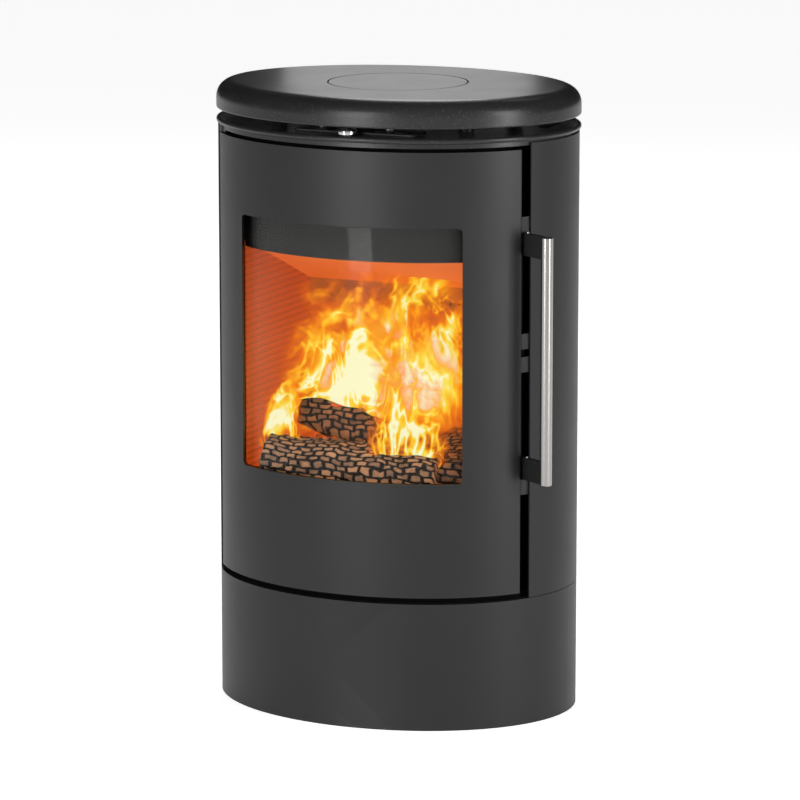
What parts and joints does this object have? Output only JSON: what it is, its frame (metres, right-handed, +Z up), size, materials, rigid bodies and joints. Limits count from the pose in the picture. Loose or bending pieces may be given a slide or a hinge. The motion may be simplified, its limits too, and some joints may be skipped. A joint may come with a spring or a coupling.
{
  "type": "wood stove",
  "caption": "Oval free-standing wood stove: plinth, curved glazed door on pins, lever latch handle, brick-lined firebox, rear flue spigot and lift-off lid.",
  "frame": {"origin": "centre of the oval plan, on the floor", "axes": "+Z up, front of the stove towards -Y, +X to the right seen from the front"},
  "size_m": [0.4567, 0.3913, 0.7355],
  "materials": {
    "black_stove_paint": "matt",
    "brushed_steel": "brushed",
    "chrome_plate": "polished",
    "zinc_steel": "satin",
    "spring_steel": "satin",
    "raw_iron": "rough",
    "refractory": "matt",
    "glass": "clear",
    "rope": "matt"
  },
  "bodies": {
    "stove": {"plinth": "black_stove_paint", "foot_bars": "black_stove_paint", "levelling_screws": "zinc_steel", "bottom_casting": "black_stove_paint", "hinge_washer": "zinc_steel", "side_casing": "black_stove_paint", "front_frame": "black_stove_paint", "left_side_plate": "black_stove_paint", "right_side_plate": "black_stove_paint", "back_plate": "black_stove_paint", "hearth_plate": "raw_iron", "left_liner": "refractory", "right_liner": "refractory", "back_liner": "refractory", "air_strip": "spring_steel", "air_channel": "black_stove_paint", "baffle": "refractory", "log_guard": "raw_iron", "ash_pan": "zinc_steel", "airwash_duct": "black_stove_paint", "top_casting": "black_stove_paint", "flue_blanking_plate": "black_stove_paint", "flue_collar": "black_stove_paint", "flue_bolts": "zinc_steel", "air_intake_box": "black_stove_paint", "air_inlet_spigot": "black_stove_paint", "casing_brackets": "black_stove_paint", "catch_spring": "spring_steel", "catch_screws": "zinc_steel", "slide_guides": "zinc_steel"},
    "door": {"door_casting": "black_stove_paint", "door_glass": "glass", "glass_seal": "rope", "glass_clips": "spring_steel", "clip_screws": "zinc_steel", "door_seal": "rope", "hinge_pins": "zinc_steel"},
    "handle": {"handle_bar": "brushed_steel", "lower_handle_arm": "black_stove_paint", "upper_handle_arm": "black_stove_paint", "arm_pins": "chrome_plate", "latch_shaft": "zinc_steel", "latch_hook": "black_stove_paint"},
    "lid_casting": {"lid": "black_stove_paint"},
    "cook_cover": {"lid_cover": "black_stove_paint"},
    "air_control_slide": {"air_slide": "black_stove_paint", "air_knob": "chrome_plate"},
    "riddling_grate": {"grate": "raw_iron", "grate_lever": "black_stove_paint"}
  },
  "joints": [
    {"name": "door_hinge", "type": "hinge", "parent": "stove", "child": "door", "pos_m": [-0.185, -0.07778, 0.3], "axis": [0, 0, -1], "range_deg": [0, 105]},
    {"name": "handle_pull", "type": "hinge", "parent": "door", "child": "handle", "pos_m": [0.1836, -0.06925, 0.436], "axis": [0, 0, -1], "range_deg": [0, 9], "deforming": ["catch_spring"]},
    {"name": "air_control", "type": "slide", "parent": "stove", "child": "air_control_slide", "axis": [1, 0, 0], "range_m": [-0.04, 0.02]},
    {"name": "lid_lift", "type": "slide", "parent": "stove", "child": "lid_casting", "axis": [0, 0, 1], "range_m": [0, 0.12]},
    {"name": "cover_lift", "type": "slide", "parent": "lid_casting", "child": "cook_cover", "axis": [0, 0, 1], "range_m": [0, 0.08]},
    {"name": "grate_turn", "type": "hinge", "parent": "stove", "child": "riddling_grate", "pos_m": [0, -0.025, 0.245], "axis": [0, 0, 1], "range_deg": [-14, 14]}
  ]
}
